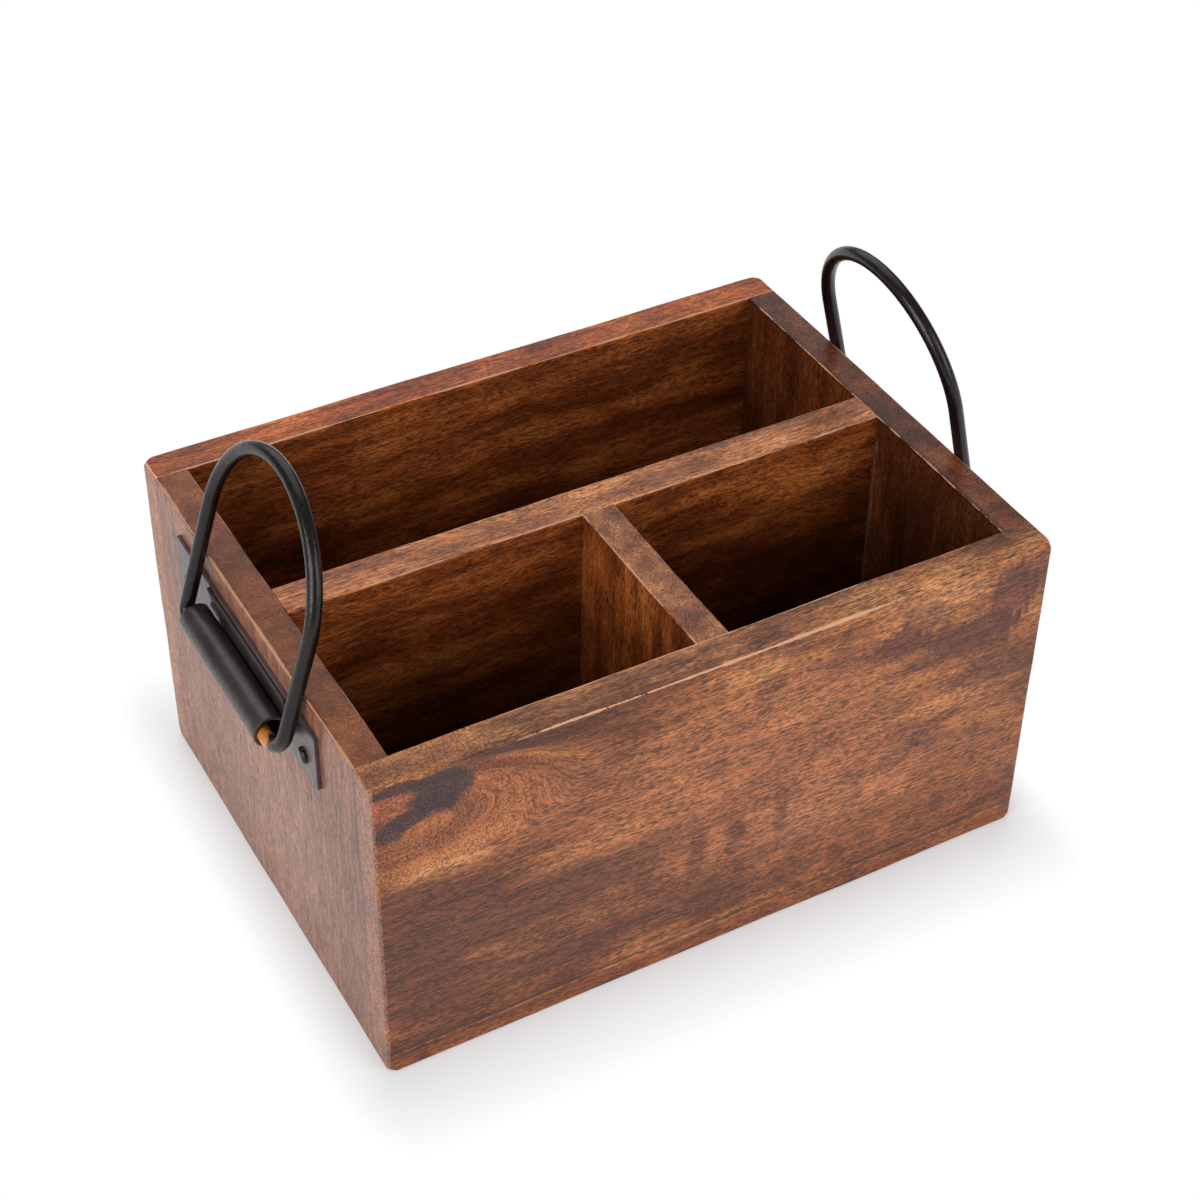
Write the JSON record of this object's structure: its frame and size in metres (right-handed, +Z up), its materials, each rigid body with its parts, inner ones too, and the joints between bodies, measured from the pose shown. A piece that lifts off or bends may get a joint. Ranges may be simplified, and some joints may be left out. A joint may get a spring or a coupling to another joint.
{
  "type": "cutlery caddy",
  "caption": "Open rectangular wooden caddy with a long rear compartment, two front compartments and a swinging black iron bail handle at each end.",
  "frame": {"origin": "on the standing surface, under the middle of the box", "axes": "+X along the length towards the right-hand handle, -Y out of the front panel, +Z up"},
  "size_m": [0.2808, 0.19, 0.191],
  "materials": {
    "stained_wood": "dark walnut stain, satin, worn pale at the edges",
    "black_iron": "blackened, satin, lightly worn",
    "brad_steel": "plain drawn wire"
  },
  "bodies": {
    "caddy": {"front_panel": "stained_wood", "back_panel": "stained_wood", "left_end_panel": "stained_wood", "right_end_panel": "stained_wood", "base_panel": "stained_wood", "long_divider": "stained_wood", "cross_divider": "stained_wood", "left_handle_plate": "black_iron", "left_handle_barrel": "black_iron", "left_plate_nails": "black_iron", "right_handle_plate": "black_iron", "right_handle_barrel": "black_iron", "right_plate_nails": "black_iron", "front_corner_brads": "brad_steel", "back_corner_brads": "brad_steel", "base_brads": "brad_steel", "long_divider_brads": "brad_steel", "cross_divider_brads": "brad_steel"},
    "left_bail": {"left_bail": "black_iron"},
    "right_bail": {"right_bail": "black_iron"}
  },
  "joints": [
    {"name": "left_bail_swing", "type": "hinge", "parent": "caddy", "child": "left_bail", "pos_m": [-0.13654, -0.005, 0.10882], "axis": [0, -1, 0], "range_deg": [0, 201.2]},
    {"name": "right_bail_swing", "type": "hinge", "parent": "caddy", "child": "right_bail", "pos_m": [0.1355, 0.0032, 0.10718], "axis": [0, 1, 0], "range_deg": [0, 197]}
  ]
}
